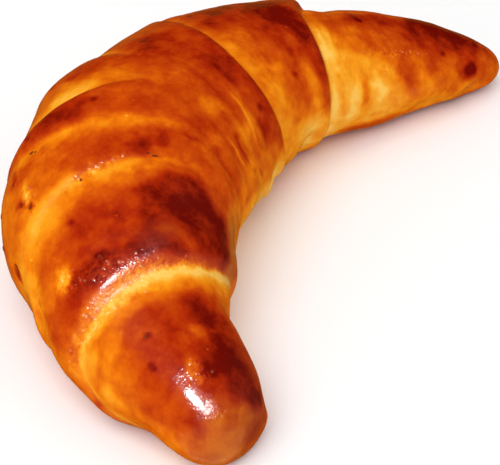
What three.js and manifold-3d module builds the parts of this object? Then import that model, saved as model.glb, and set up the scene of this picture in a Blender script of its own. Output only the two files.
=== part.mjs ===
// Walnut bun: a crescent of sweet dough, rolled up from a long strip so that each wrap overlaps the next one
// towards both tips, egg-washed and baked. One solid piece, resting on its flat underside.
// Millimetres, +Z up, +X from the blunt tip towards the pointed tip, the tips bent towards -Y.
import * as THREE from "three";
import { mergeVertices } from "three/addons/utils/BufferGeometryUtils.js";
import Module from "manifold-3d";

// The middle line of the roll, from the blunt tip (0) to the pointed tip (LENGTH).
const LENGTH = 208;
const BLUNT_TURN = -4; // degrees that it bends in each cm
const BODY_TURN = [-8.8, -7.7]; // at the body's blunt and pointed ends
const POINTED_TURN = 1.6;
const BLUNT_CHANGE = [0, 25]; // places between which one bend eases into the next
const POINTED_CHANGE = [142, 175];
const FRAME_TURN = 5; // degrees that the whole roll is turned, so that its tips lie along X

// The cross-section: an oval, sunk a little into the tray so that its underside comes out flat.
const THICKEST = 26.5; // greatest half width
const THICKEST_AT = 83; // its place along the roll
const BLUNT_END = 9.5; // half widths that each end tapers to
const POINTED_END = 7;
const BLUNT_TAPER = 1.2; // 1 is a quarter of a sine wave, more is hollower
const POINTED_TAPER = 1;
const HEIGHT_SHARE = 0.85; // half height over half width
const CENTRE_SHARE = 0.9; // height of the oval's centre over its half height
const BLUNT_TIP = 6.5; // length over which each tip rounds off
const POINTED_TIP = 12;
const TIP_POWER = 2.3; // 2 is an ellipse, more is squarer

// The seams where one wrap ends on top of the next.
// at: place along the roll, every eighth of a turn from the outer side over the crest and the inner side.
// share: how strongly the seam shows at the same eight places.
// lift: height of the upper wrap's edge. roll: length over which it rounds down. groove: depth at its foot.
// softness: half width of the step. faces: -1 where the edge faces the blunt tip, 1 the pointed tip.
const SEAMS = [
  {
    at: [29.5, 31.9, 33.4, 34, 38, 33, 20, 14],
    share: [0.5, 0.9, 1, 1, 1, 0.6, 0.2, 0.2],
    lift: 1.9, roll: 7, groove: 0.9, softness: 0.9, faces: -1,
  },
  {
    at: [40.5, 52, 58.6, 60.8, 53, 47, 43, 40],
    share: [1, 0.8, 0.6, 0.4, 0.3, 0.4, 0.5, 0.7],
    lift: 0.9, roll: 4, groove: 0.5, softness: 0.8, faces: -1,
  },
  {
    at: [68.5, 67.8, 71.4, 74.6, 76, 73, 69, 68.5],
    share: [0.8, 0.6, 0.5, 0.3, 0.1, 0.3, 0.5, 0.7],
    lift: 0.8, roll: 5, groove: 0.4, softness: 1, faces: -1,
  },
  {
    at: [68, 74.8, 84, 90, 90, 84, 74, 68],
    share: [1, 1, 0, 0, 0, 0, 0.6, 1],
    lift: 1.5, roll: 3, groove: 1.1, softness: 0.5, faces: 1,
  },
  {
    at: [98, 96, 94, 94, 94, 96, 98, 98],
    share: [0.9, 0.7, 0, 0, 0, 0.2, 0.7, 0.9],
    lift: 1.1, roll: 4, groove: 0.5, softness: 0.5, faces: 1,
  },
  {
    at: [119, 116.5, 113.6, 111.8, 115.3, 121, 122, 120.5],
    share: [0.2, 0.4, 0.9, 1, 0.8, 0.5, 0.3, 0.2],
    lift: 1.4, roll: 4, groove: 0.5, softness: 0.6, faces: 1,
  },
  {
    at: [154, 153.5, 147.4, 146.2, 144.8, 145, 148, 151],
    share: [1.3, 1.3, 1.2, 1, 0.8, 0.7, 0.8, 1.1],
    lift: 2.2, roll: 4, groove: 0.6, softness: 0.5, faces: 1,
  },
];
const LIFT_REACH = 26; // length over which its lift dies away behind the edge
const GROOVE_REACH = 3; // length over which the groove dies away
const SLOPE_STEP = 0.02; // radians between the two places that give a seam's slope
const FULL_RELIEF_WIDTH = 8; // half width of the roll below which the relief fades out

// Bulges and dents: place along the roll, angle round it (0 outer side, 90 crest, 180 inner side), height,
// length and width of the dome. A dent has a negative height.
const SWELLS = [
  { along: 4, angle: 175, height: -1.3, length: 3, width: 6 },
  { along: 2, angle: 215, height: 0.8, length: 3, width: 4 },
  { along: 1.6, angle: 238, height: 1.2, length: 4, width: 6 },
  { along: 1, angle: -60, height: 0.7, length: 3, width: 5 },
  { along: 9, angle: -28, height: 1, length: 7, width: 7 },
  { along: 13, angle: 62, height: 1.2, length: 7, width: 9 },
  { along: 18, angle: -35, height: -1, length: 5, width: 6 },
  { along: 23.5, angle: -26, height: 2.1, length: 6, width: 8 },
  { along: 33, angle: -16, height: 1.5, length: 7, width: 7 },
  { along: 46, angle: -4, height: -1.1, length: 4, width: 8 },
  { along: 26, angle: 168, height: -1.3, length: 4, width: 6 },
  { along: 38, angle: 114, height: 1.4, length: 5, width: 6 },
  { along: 41, angle: 188, height: 0.6, length: 6, width: 8 },
  { along: 56, angle: -2, height: 1.2, length: 8, width: 9 },
  { along: 66, angle: 12, height: 0.6, length: 7, width: 8 },
  { along: 87, angle: 30, height: 0.7, length: 5, width: 8 },
  { along: 92, angle: 20, height: 1.2, length: 7, width: 14 },
  { along: 99, angle: 36, height: -0.6, length: 5, width: 8 },
  { along: 64, angle: 190, height: -0.6, length: 8, width: 12 },
  { along: 83, angle: 190, height: 1.4, length: 13, width: 9 },
  { along: 98, angle: 205, height: 1.8, length: 9, width: 9 },
  { along: 107, angle: 213, height: 2.3, length: 4, width: 5 },
  { along: 117, angle: 205, height: 1.1, length: 5, width: 7 },
  { along: 126, angle: 212, height: 0.9, length: 6, width: 8 },
  { along: 136, angle: 203, height: -2.2, length: 5, width: 7 },
  { along: 165, angle: 222, height: 0.8, length: 9, width: 5 },
  { along: 156, angle: 56, height: -0.9, length: 4.5, width: 7 },
  { along: 172, angle: 58, height: 1.4, length: 8, width: 8 },
  { along: 180, angle: 207, height: -1.3, length: 10, width: 5 },
  { along: 187, angle: 63, height: 1.8, length: 10, width: 8 },
  { along: 191, angle: 155, height: -0.9, length: 3.5, width: 3.5 },
  { along: 196, angle: 202, height: -1.7, length: 4, width: 4 },
];

// Fineness of the surface.
const RINGS = 98;
const SIDES = 46;
const SPINE_STEPS = 1040;
const BED_SIZE = 400; // the block below the base plane that cuts the underside flat
const BED_DEPTH = 40;

const radians = THREE.MathUtils.degToRad;

// The smooth curve between b and c, its slopes set by the values on either side.
function between(a, b, c, d, f) {
  return 0.5 * (2 * b + (c - a) * f + (2 * a - 5 * b + 4 * c - d) * f * f + (3 * b - a - 3 * c + d) * f ** 3);
}

// Degrees that the middle line bends in each cm: each end's own bend eases into that of the body.
function turnPerCm(place) {
  const body = THREE.MathUtils.lerp(...BODY_TURN, Math.min(place / POINTED_CHANGE[0], 1));
  const turn = THREE.MathUtils.lerp(BLUNT_TURN, body, THREE.MathUtils.smoothstep(place, ...BLUNT_CHANGE));
  return THREE.MathUtils.lerp(turn, POINTED_TURN, THREE.MathUtils.smoothstep(place, ...POINTED_CHANGE));
}

// The half width between the rounded tips: from the thickest place it tapers to each end as a sine wave.
function fullHalfWidth(place) {
  const fromBlunt = Math.min(place / THICKEST_AT, 1);
  const fromPointed = Math.min((LENGTH - place) / (LENGTH - THICKEST_AT), 1);
  return place < THICKEST_AT
    ? THREE.MathUtils.lerp(BLUNT_END, THICKEST, Math.sin((Math.PI / 2) * fromBlunt) ** BLUNT_TAPER)
    : THREE.MathUtils.lerp(POINTED_END, THICKEST, Math.sin((Math.PI / 2) * fromPointed) ** POINTED_TAPER);
}

// A smooth closed curve through values at equal angles round the section.
function around(values, angle) {
  const count = values.length;
  const t = (THREE.MathUtils.euclideanModulo(angle, 2 * Math.PI) / (2 * Math.PI)) * count;
  const i = Math.floor(t);
  const [a, b, c, d] = [-1, 0, 1, 2].map((step) => values[(i + step + count) % count]);
  return between(a, b, c, d, t - i);
}

// The angle in degrees, brought within half a turn of zero.
function wrapped(degrees) {
  return THREE.MathUtils.euclideanModulo(degrees + 180, 360) - 180;
}

// The middle line as points: heading turns by the bend at each step, the middle station at the origin.
function makeSpine() {
  const step = LENGTH / SPINE_STEPS;
  const bends = Array.from({ length: SPINE_STEPS + 1 }, (_, i) => radians(turnPerCm(i * step)) / 10);
  const points = [{ x: 0, y: 0, heading: 0, bend: bends[0] }];
  for (let i = 1; i <= SPINE_STEPS; i++) {
    const last = points[i - 1];
    const heading = last.heading + ((bends[i - 1] + bends[i]) / 2) * step;
    const middle = (last.heading + heading) / 2;
    points.push({
      x: last.x + Math.cos(middle) * step,
      y: last.y + Math.sin(middle) * step,
      heading,
      bend: bends[i],
    });
  }
  const centre = points[SPINE_STEPS / 2];
  const turn = radians(FRAME_TURN) - centre.heading;
  return points.map(({ x, y, heading, bend }) => {
    const [dx, dy] = [x - centre.x, y - centre.y];
    return {
      x: dx * Math.cos(turn) - dy * Math.sin(turn),
      y: dx * Math.sin(turn) + dy * Math.cos(turn),
      heading: heading + turn,
      bend,
    };
  });
}

const spine = makeSpine();

function spineAt(place) {
  const t = THREE.MathUtils.clamp(place / LENGTH, 0, 1) * SPINE_STEPS;
  const i = Math.min(Math.floor(t), SPINE_STEPS - 1);
  const [a, b, f] = [spine[i], spine[i + 1], t - i];
  const mix = THREE.MathUtils.lerp;
  return {
    x: mix(a.x, b.x, f),
    y: mix(a.y, b.y, f),
    heading: mix(a.heading, b.heading, f),
    bend: mix(a.bend, b.bend, f),
  };
}

// How far the oval has opened, from 0 at each tip to 1 past its rounding.
function opening(place) {
  const fromBlunt = Math.max(1 - place / BLUNT_TIP, 0);
  const fromPointed = Math.max(1 - (LENGTH - place) / POINTED_TIP, 0);
  const round = (gap) => Math.max(1 - gap ** TIP_POWER, 0) ** (1 / TIP_POWER);
  return round(fromBlunt) * round(fromPointed);
}

// Distance from the seam over the crust, positive past the edge. Along the roll it is stretched or squeezed
// by the bend, and where the seam runs aslant it is shortened to the distance square to the seam. The slope
// is taken over at least the full relief width, so that no seam closes up round a tip.
function distancePast(seam, place, angle, halfWidth, stretch) {
  const here = around(seam.at, angle);
  const reach = SLOPE_STEP * Math.max(halfWidth, FULL_RELIEF_WIDTH);
  const slope = (around(seam.at, angle + SLOPE_STEP) - here) / reach;
  return ((place - here) * seam.faces * stretch) / Math.hypot(1, slope);
}

// Height of one seam's step: behind the edge the upper wrap stands proud and rounds down, in front
// of it a groove dies away.
function seamHeight(seam, angle, past) {
  const rolled = Math.sqrt(Math.max(1 - THREE.MathUtils.clamp(1 + past / seam.roll, 0, 1) ** 2, 0));
  const upper = seam.lift * rolled * Math.exp(Math.min(past, 0) / LIFT_REACH);
  const lower = -seam.groove * Math.exp(-Math.max(past, 0) / GROOVE_REACH);
  const front = 0.5 * (1 + Math.tanh(past / seam.softness));
  return Math.max(around(seam.share, angle), 0) * ((1 - front) * upper + front * lower);
}

function swellHeight(swell, place, angle, halfWidth) {
  const dx = (place - swell.along) / swell.length;
  const dy = (radians(wrapped(THREE.MathUtils.radToDeg(angle) - swell.angle)) * halfWidth) / swell.width;
  return swell.height * Math.exp(-dx * dx - dy * dy);
}

// A point of the crust: the oval's point at this angle, moved out along the oval's normal by the relief.
function crustPoint(place, angle) {
  const { x, y, heading, bend } = spineAt(place);
  const fullWidth = fullHalfWidth(place);
  const halfWidth = fullWidth * opening(place);
  const halfHeight = halfWidth * HEIGHT_SHARE;
  const centre = CENTRE_SHARE * HEIGHT_SHARE * fullWidth;
  const [side, up] = [Math.cos(angle), Math.sin(angle)];
  const normal = new THREE.Vector2(side * HEIGHT_SHARE, up).normalize();
  const stretch = 1 - bend * halfWidth * side;
  const fade = Math.min(halfWidth / FULL_RELIEF_WIDTH, 1);
  const past = (seam) => distancePast(seam, place, angle, halfWidth, stretch);
  const seams = SEAMS.reduce((sum, seam) => sum + seamHeight(seam, angle, past(seam)), 0);
  const swells = SWELLS.reduce((sum, swell) => sum + swellHeight(swell, place, angle, halfWidth), 0);
  const relief = (seams + swells) * fade;
  const out = halfWidth * side + normal.x * relief;
  return [
    x - Math.sin(heading) * out,
    y + Math.cos(heading) * out,
    centre + halfHeight * up + normal.y * relief,
  ];
}

// The closed crust: rings round the roll between one point at each tip, rings closer together at the tips.
function crustGeometry() {
  const positions = [...crustPoint(0, 0)];
  for (let i = 1; i < RINGS; i++) {
    const place = (LENGTH * (1 - Math.cos((Math.PI * i) / RINGS))) / 2;
    for (let j = 0; j < SIDES; j++) positions.push(...crustPoint(place, (2 * Math.PI * j) / SIDES));
  }
  positions.push(...crustPoint(LENGTH, 0));
  const vertex = (i, j) => 1 + (i - 1) * SIDES + (j % SIDES);
  const lastVertex = 1 + (RINGS - 1) * SIDES;
  const faces = [];
  for (let j = 0; j < SIDES; j++) {
    faces.push(0, vertex(1, j + 1), vertex(1, j));
    faces.push(lastVertex, vertex(RINGS - 1, j), vertex(RINGS - 1, j + 1));
    for (let i = 1; i < RINGS - 1; i++) {
      faces.push(vertex(i, j), vertex(i + 1, j + 1), vertex(i + 1, j));
      faces.push(vertex(i, j), vertex(i, j + 1), vertex(i + 1, j + 1));
    }
  }
  const geometry = new THREE.BufferGeometry();
  geometry.setAttribute("position", new THREE.Float32BufferAttribute(positions, 3));
  geometry.setIndex(faces);
  return geometry;
}

const wasm = await Module();
wasm.setup();

function solidOf(geometry) {
  geometry.deleteAttribute("normal");
  geometry.deleteAttribute("uv");
  const merged = mergeVertices(geometry);
  const mesh = new wasm.Mesh({
    numProp: 3,
    vertProperties: merged.attributes.position.array,
    triVerts: new Uint32Array(merged.index.array),
  });
  return new wasm.Manifold(mesh);
}

function geometryOf(solid) {
  const { vertProperties, triVerts } = solid.getMesh();
  const geometry = new THREE.BufferGeometry();
  geometry.setAttribute("position", new THREE.BufferAttribute(vertProperties, 3));
  geometry.setIndex(new THREE.BufferAttribute(triVerts, 1));
  geometry.computeVertexNormals();
  return geometry;
}

// The bun with its underside cut flat at the base plane, and the middle of its box put at the origin.
function bunGeometry() {
  const bed = new THREE.BoxGeometry(BED_SIZE, BED_SIZE, BED_DEPTH).translate(0, 0, -BED_DEPTH / 2);
  const geometry = geometryOf(solidOf(crustGeometry()).subtract(solidOf(bed)));
  geometry.computeBoundingBox();
  const middle = geometry.boundingBox.getCenter(new THREE.Vector3());
  return geometry.translate(-middle.x, -middle.y, 0);
}

const crust = new THREE.MeshStandardMaterial({ color: 0xc25a14, roughness: 0.35, metalness: 0 });
const bun = new THREE.Mesh(bunGeometry(), crust);
bun.name = "bun";

const group = new THREE.Group();
group.add(bun);

export default group;
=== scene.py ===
"""Walnut bun: a glossy, egg-washed crescent of rolled dough, on a pale studio floor."""

import bpy
import numpy as np
from bpy.props import FloatProperty, FloatVectorProperty, IntProperty, PointerProperty
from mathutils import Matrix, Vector


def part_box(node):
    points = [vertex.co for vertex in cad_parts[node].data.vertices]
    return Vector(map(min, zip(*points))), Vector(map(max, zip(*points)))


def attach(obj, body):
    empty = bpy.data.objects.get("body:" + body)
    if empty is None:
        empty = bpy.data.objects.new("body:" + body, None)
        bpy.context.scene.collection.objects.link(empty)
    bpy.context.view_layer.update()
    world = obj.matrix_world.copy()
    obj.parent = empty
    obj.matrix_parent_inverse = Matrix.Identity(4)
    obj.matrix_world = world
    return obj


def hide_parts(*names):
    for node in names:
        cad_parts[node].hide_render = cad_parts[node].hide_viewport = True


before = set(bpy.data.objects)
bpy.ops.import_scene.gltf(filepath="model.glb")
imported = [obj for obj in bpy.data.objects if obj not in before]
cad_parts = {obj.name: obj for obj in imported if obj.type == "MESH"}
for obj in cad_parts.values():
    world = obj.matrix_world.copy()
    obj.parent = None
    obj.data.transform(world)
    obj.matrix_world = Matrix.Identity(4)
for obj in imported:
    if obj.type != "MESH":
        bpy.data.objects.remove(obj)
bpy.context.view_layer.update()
BUN_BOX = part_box("bun")

bl_info = {
    "name": "Walnut Bun",
    "version": (1, 0, 0),
    "blender": (4, 5, 0),
    "location": "3D View > Sidebar > Walnut Bun",
    "description": "A crescent bun of rolled dough with a glossy browned crust",
    "category": "Add Mesh",
}

MM = 0.001

# ---------------------------------------------------------------------------
# The roll: lengths in millimetres, angles round it in degrees, 0 on the outer
# side of the crescent, 90 on the crest, 180 on the inner side.
# ---------------------------------------------------------------------------

# The middle line, from the blunt tip (0) to the pointed tip (LENGTH).
LENGTH = 208
BLUNT_TURN = -4  # degrees that it bends in each cm
BODY_TURN = (-8.8, -7.7)  # at the body's blunt and pointed ends
POINTED_TURN = 1.6
BLUNT_CHANGE = (0, 25)  # places between which one bend eases into the next
POINTED_CHANGE = (142, 175)
FRAME_TURN = 5  # degrees that the whole roll is turned, so that its tips lie along X
SPINE_STEPS = 1040

# The cross-section: an oval, sunk a little into the tray so that its underside comes out flat.
THICKEST = 26.5  # greatest half width
THICKEST_AT = 83
BLUNT_END = 9.5  # half widths that each end tapers to
POINTED_END = 7
BLUNT_TAPER = 1.2  # 1 is a quarter of a sine wave, more is hollower
POINTED_TAPER = 1
HEIGHT_SHARE = 0.85  # half height over half width
CENTRE_SHARE = 0.9  # height of the oval's centre over its half height
BLUNT_TIP = 6.5  # length over which each tip rounds off
POINTED_TIP = 12
TIP_POWER = 2.3  # 2 is an ellipse, more is squarer
FLOOR_SOFTNESS = 0.6  # how softly the flank bends onto the flat underside
FLOOR_REACH = 4  # softnesses above the base plane past which nothing bends

# The seams, where one wrap ends on top of the next. Rows of eight go round the roll in
# eighths of a turn from the outer side. at: place along the roll. share: how strongly
# the seam shows. lift: height of the upper wrap's edge. roll: length over which it
# rounds down. groove: depth at its foot. softness: half width of the step. faces: -1
# where the edge faces the blunt tip, 1 where it faces the pointed tip.
# pale: share of the pale strip past the edge. It is browned to level within a fainter
# halo, and its middle lies past the edge with a near and a far reach on either side.
# dark: share of the upper wrap's rim, browned to rim, with its reach behind the edge.
SEAMS = {
    "neck": dict(
        at=(29.5, 31.9, 33.4, 34, 38, 33, 20, 14),
        share=(0.5, 0.9, 1, 1, 1, 0.6, 0.2, 0.2),
        lift=1.9, roll=7, groove=0.9, softness=0.9, faces=-1,
        pale=(0.5, 1, 1, 1, 0.9, 0.9, 0.5, 0.6),
        level=0.1, halo=0.36, middle=1.3, near=0.9, far=1.6,
    ),
    "second": dict(
        at=(40.5, 52, 58.6, 60.8, 53, 47, 43, 40),
        share=(1, 0.8, 0.6, 0.4, 0.3, 0.4, 0.5, 0.7),
        lift=0.9, roll=4, groove=0.5, softness=0.8, faces=-1,
        pale=(0.7, 0.7, 0.8, 0.1, 0, 0, 0.3, 0.6),
        level=0.34, halo=0.42, middle=1.0, near=0.8, far=1.8,
    ),
    "third": dict(
        at=(68.5, 67.8, 71.4, 74.6, 76, 73, 69, 68.5),
        share=(0.8, 0.6, 0.5, 0.3, 0.1, 0.3, 0.5, 0.7),
        lift=0.8, roll=5, groove=0.4, softness=1.0, faces=-1,
        pale=(0.9, 0.9, 0.7, 0.1, 0, 0.2, 0.4, 0.7),
        level=0.36, halo=0.5, middle=1.2, near=1.2, far=1.5,
    ),
    "parting": dict(
        at=(68, 74.8, 84, 90, 90, 84, 74, 68),
        share=(1, 1, 0, 0, 0, 0, 0.6, 1),
        lift=1.5, roll=3, groove=1.1, softness=0.5, faces=1,
        pale=(0.2, 0.5, 0, 0, 0, 0, 0.6, 0.9),
        level=0.14, halo=0.22, middle=2.0, near=1.9, far=3.4,
        dark=(0.8, 1, 0.3, 0, 0, 0, 0.4, 0.8),
        rim=0.84, reach=4,
    ),
    "notch": dict(
        at=(98, 96, 94, 94, 94, 96, 98, 98),
        share=(0.9, 0.7, 0, 0, 0, 0.2, 0.7, 0.9),
        lift=1.1, roll=4, groove=0.5, softness=0.5, faces=1,
        pale=(0.8, 0.7, 0, 0, 0, 0, 0.5, 0.7),
        level=0.3, halo=0.45, middle=1, near=0.6, far=1.6,
        dark=(0.8, 0.8, 0.1, 0, 0, 0, 0.2, 0.8),
        rim=0.75, reach=3,
    ),
    "fourth": dict(
        at=(119, 116.5, 113.6, 111.8, 115.3, 121, 122, 120.5),
        share=(0.2, 0.4, 0.9, 1, 0.8, 0.5, 0.3, 0.2),
        lift=1.4, roll=4, groove=0.5, softness=0.6, faces=1,
        pale=(0.2, 0.1, 0.1, 0.45, 1, 0.8, 0.4, 0.2),
        level=0.3, halo=0.4, middle=1.0, near=0.8, far=3.2,
        dark=(0.3, 0.7, 1, 0.7, 0.4, 0.1, 0, 0.1),
        rim=0.84, reach=3.6,
    ),
    "fifth": dict(
        at=(154, 153.5, 147.4, 146.2, 144.8, 145, 148, 151),
        share=(1.3, 1.3, 1.2, 1, 0.8, 0.7, 0.8, 1.1),
        lift=2.2, roll=4, groove=0.6, softness=0.5, faces=1,
        pale=(0, 0, 0.12, 1, 1, 1, 0.6, 0.2),
        level=0.12, halo=0.22, middle=1.2, near=0.9, far=2.6,
        dark=(0.5, 0.8, 0.8, 0.7, 0.1, 0, 0, 0.2),
        rim=0.88, reach=3.4,
    ),
}
LIFT_REACH = 26  # length over which the lift dies away behind the edge
GROOVE_REACH = 3  # length over which the groove dies away
SLOPE_STEP = 0.02  # radians between the two places that give a seam's slope
FULL_RELIEF_WIDTH = 8  # half width of the roll below which the relief fades out

# Bulges and dents: place, angle, height, length, width.
SWELLS = (
    (4, 175, -1.3, 3, 6),
    (2, 215, 0.8, 3, 4),
    (1.6, 238, 1.2, 4, 6),
    (1, -60, 0.7, 3, 5),
    (9, -28, 1.0, 7, 7),
    (13, 62, 1.2, 7, 9),
    (13, 168, 0.5, 6, 6),
    (18, -35, -1.0, 5, 6),
    (23.5, -26, 2.1, 6, 8),
    (33, -16, 1.5, 7, 7),
    (46, -4, -1.1, 4, 8),
    (36, 180, 0.4, 5, 7),
    (26, 168, -1.3, 4, 6),
    (38, 114, 1.4, 5, 6),
    (41, 188, 0.6, 6, 8),
    (56, -2, 1.2, 8, 9),
    (51, 180, -0.5, 6, 6),
    (66, 12, 0.6, 7, 8),
    (72, 24, -0.4, 5, 8),
    (87, 30, 0.7, 5, 8),
    (92, 20, 1.2, 7, 14),
    (99, 36, -0.6, 5, 8),
    (64, 190, -0.6, 8, 12),
    (83, 190, 1.4, 13, 9),
    (98, 205, 1.8, 9, 9),
    (107, 213, 2.3, 4, 5),
    (117, 205, 1.1, 5, 7),
    (126, 212, 0.9, 6, 8),
    (131, 44, -0.3, 7, 7),
    (117.5, 51, 0.5, 4, 5),
    (147.5, 68, -0.5, 3, 6),
    (136, 203, -2.2, 5, 7),
    (137, 66, -0.3, 12, 8),
    (165, 222, 0.8, 9, 5),
    (156, 56, -0.9, 4.5, 7),
    (172, 58, 1.4, 8, 8),
    (180, 207, -1.3, 10, 5),
    (187, 63, 1.8, 10, 8),
    (191, 155, -0.9, 3.5, 3.5),
    (196, 202, -1.7, 4, 4),
)

# How the oven browned the crust: place, angle, length, width, turn and level, from
# 0 for pale dough to 1 for mahogany, or below 0 to make a thin line wholly pale.
# Each patch is painted over the ones before it, and one pale patch on the pointed tip is a painted sheen.
BROWNING_AND_SHEEN = (
    # whole roll: paler low on both flanks
    (104, 205, 90, 12, 0, 0.15),
    (50, -18, 60, 9, 0, 0.46),
    # blunt tip
    (12.5, 64, 14, 12, 0, 0.69),
    (13, 22, 7, 3, 0, 0.66),
    (13, -8, 14, 4, 0, 0.46),
    (23.5, 24, 5, 8, 0, 0.47),
    (26, 40, 2.4, 4, 0, 0.36),
    (22.5, 2, 2.2, 2.4, 0, 0.22),
    (28.5, 12, 1.8, 5, 0, 0.14),
    (15, 52, 4.5, 4, 0, 0.74),
    (17, 52, 1.0, 0.9, 0, 0.92),
    (15.5, 70, 2.2, 2.2, 0, 0.78),
    (22, 72, 5, 6.5, 0, 0.72),
    (25.3, 110, 2.4, 4, 0, 0.86),
    (24.6, 84, 2.4, 5, 0, 0.74),
    (23.5, 60, 2.2, 4, 0, 0.68),
    (18, 84, 3, 3, 0, 0.64),
    (11, 76, 2.6, 1.8, 0, 0.48),
    (14, 122, 12, 8, 0, 0.86),
    (10, 108, 2.6, 6, 0, 0.92),
    (21.5, 116, 4, 2.4, 12, 0.88),
    (18, 99, 2, 1.5, 20, 0.6),
    (3.2, 104, 3, 6, 0, 0.84),
    (0.5, 200, 4, 12, 0, 0.53),
    (1.5, 20, 5, 10, 0, 0.52),
    (6, 30, 2.2, 3, 0, 0.78),
    (0, 0, 2.6, 40, 0, 0.52),
    (3.4, 114, 2.6, 6, 0, 0.88),
    (6, 14, 2.6, 3, 0, 0.5),
    # the big wrap above the neck
    (36, 5, 10, 6, 0, 0.43),
    (36, 17, 5, 6, 0, 0.68),
    (40, 30, 8, 5, 0, 0.53),
    (40, 66, 2.2, 3, 0, 0.6),
    (44, 75, 9, 10, 0, 0.75),
    (46, 127, 12, 12.5, 0, 0.8),
    (42, 148, 8, 6, 0, 0.92),
    (48, 126, 9.5, 10, 0, 0.94),
    (43, 104, 3.5, 3, 0, 0.82),
    (51.5, 114, 3.2, 6, 12, 0.92),
    (56, 147, 6, 4, 0, 0.66),
    (37.5, 107, 2.6, 4.2, 15, 0.66),
    (35.5, 107, 1.1, 5.5, 0, 0.86),
    (39, 41, 2.6, 2, 0, 0.2),
    (50, 167, 14, 3.5, 0, 0.38),
    (36.6, 68, 2.2, 14, 4, 0.84),
    (33.5, 56, 0.9, 13, 5, 0.44),
    # the pale band below the second seam
    (46, 10, 4, 7, 20, 0.32),
    (50.5, 36, 3.6, 7, 22, 0.27),
    (54, 60, 3, 6.5, 22, 0.25),
    (56.4, 80, 2, 5, 22, 0.27),
    (58.3, 95, 1.2, 4, 22, 0.36),
    # the wrap behind it, and the soft third seam
    (82, 116, 17, 22, 0, 0.64),
    (62.5, 85, 4, 12, 15, 0.66),
    (63.5, 100, 3.2, 3.2, 0, 0.8),
    (65, 111, 2.6, 1.8, 0, 0.78),
    (58, 72, 1.5, 2, 0, 0.72),
    (61, 63, 1, 1, 0, 0.72),
    (57.5, 39, 3, 1.3, 0, 0.3),
    (57, 18, 7, 5, 0, 0.42),
    (67, 147, 12, 4.5, 0, 0.62),
    (74, 128, 4, 3.5, 0, 0.74),
    (66.5, 45, 1.8, 6, 10, 0.42),
    (68, 70, 1.7, 6, 8, 0.42),
    (70, 92, 1.9, 4, 8, 0.38),
    # the parting, a pale lens between dark edges
    (73, 58, 4.4, 8, 12, 0.78),
    (73, 60, 2, 3.5, 12, 0.86),
    (79.5, 36, 5, 5, 8, 0.54),
    (80.5, 60, 3.2, 6.5, 8, 0.17),
    (89.5, 56, 3, 6, -10, 0.74),
    (87, 50, 1.2, 2.2, 0, 0.85),
    (93, 62, 3, 2.5, 0, 0.7),
    # the middle wrap
    (84, 88, 8, 7, 0, 0.52),
    (102, 84, 9, 10, 0, 0.78),
    (104, 118, 5, 7, 0, 0.78),
    (104, 152, 6.5, 9, 0, 0.66),
    (101, 160, 2.4, 4, 0, 0.82),
    (88.5, 150, 3.4, 8, 0, 0.47),
    (94.5, 147, 0.8, 8, -15, 0.4),
    (82.2, 153, 0.8, 6, 0, 0.76),
    (87, 173, 0.9, 4, 30, 0.74),
    (79.5, 151, 0.7, 6, -8, 0.42),
    (85.5, 128, 3.4, 3.4, 0, 0.42),
    (71, 126, 3.5, 1.6, 0, 0.78),
    (80, 119, 6, 1.6, 0, 0.66),
    (82, 143, 5, 3, 0, 0.6),
    (89.5, 152, 3, 2, 0, 0.36),
    (101, 180, 7, 5, 0, 0.44),
    (75, 170, 18, 3.5, 0, 0.42),
    # the wrap past the fourth seam
    (114, 90, 2.2, 10, 0, 0.54),
    (119, 152, 4, 9.5, 0, 0.33),
    (114.5, 113, 2.6, 5.5, 0, 0.5),
    (127, 84, 9, 5, 0, 0.77),
    (130, 70, 13, 7, 0, 0.88),
    (123, 87, 8, 5.5, 0, 0.8),
    (133, 100, 8, 7, 0, 0.76),
    (139, 92, 7, 6, 0, 0.93),
    (140, 73, 8, 5, 0, 0.9),
    (142, 110, 3.5, 6, 0, 0.88),
    (141, 145, 2.3, 6, 6, 0.77),
    (137.5, 125, 4, 4, 0, 0.74),
    (129.5, 150, 4.5, 9, 0, 0.62),
    (131, 143, 1.2, 1.2, 0, 0.82),
    (138.5, 160, 3, 8, 0, 0.4),
    (124, 134, 4, 1.5, 0, 0.42),
    (132, 184, 14, 5, 0, 0.18),
    (120, 192, 10, 6, 0, 0.04),
    # pointed tip
    (158, 95, 10, 4, 0, 0.66),
    (160, 98, 4, 2.2, 0, 0.72),
    (165, 85, 6, 3, 0, 0.76),
    (160, 136, 10, 5, 0, 0.38),
    (161, 113, 11, 5.5, 0, 0.58),
    (150.2, 128, 1.7, 8, 0, 0.22),
    (158, 170, 12, 9, 0, 0.22),
    (152.5, 172, 3.6, 8, 0, 0.08),
    (158.8, 162, 1.7, 6, 4, 0.42),
    (165, 167, 3, 7.5, 4, 0.16),
    (173, 158, 2.4, 9, 4, 0.6),
    (182, 140, 6, 4.5, 0, 0.57),
    (178.5, 163, 2.4, 3.6, 0, 0.38),
    (186, 160, 6, 6, 0, 0.54),
    # a painted sheen: a pale patch that stands in for a soft glow of light
    (167, 149, 2.4, 3, 0, 0.3),
    (154.5, 142, 2.2, 4, 0, 0.36),
    (158, 215, 16, 3, 0, 0.62),
    (187, 98, 14.5, 6.8, 0, 0.86),
    (190, 76, 12, 6, 0, 0.95),
    (171, 84, 7, 3.5, 0, 0.84),
    (199, 124, 3.2, 5, 0, 0.9),
    (200, 155, 3.5, 7, 0, 0.6),
    (192.8, 160, 3.2, 3.6, -25, 0.7),
    (194.5, 154, 1.9, 2.8, -25, 0.98),
    (148.7, 116, 0.5, 4, 8, -0.1),
)
BASE_BAKE = 0.56  # level of the crust between the patches
PATCH_EDGE = 1.7  # 1 makes a patch a bell curve, more gives it a flat middle and a crisp edge
PATCH_WANDER = 1.2  # how far noise pushes the patches about
WANDER_HALF_WIDTH = 4  # half width of the roll below which their wander round it stops growing
STRIP_WANDER = 0.25  # how far slow and fine noise push the strips at the seams about
STRIP_RAGGEDNESS = 0.35
HALO_SPREAD = 2.4  # how many times wider the halo is than the pale strip
SINGE = 0.9  # level of the crust round a crumb
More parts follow.
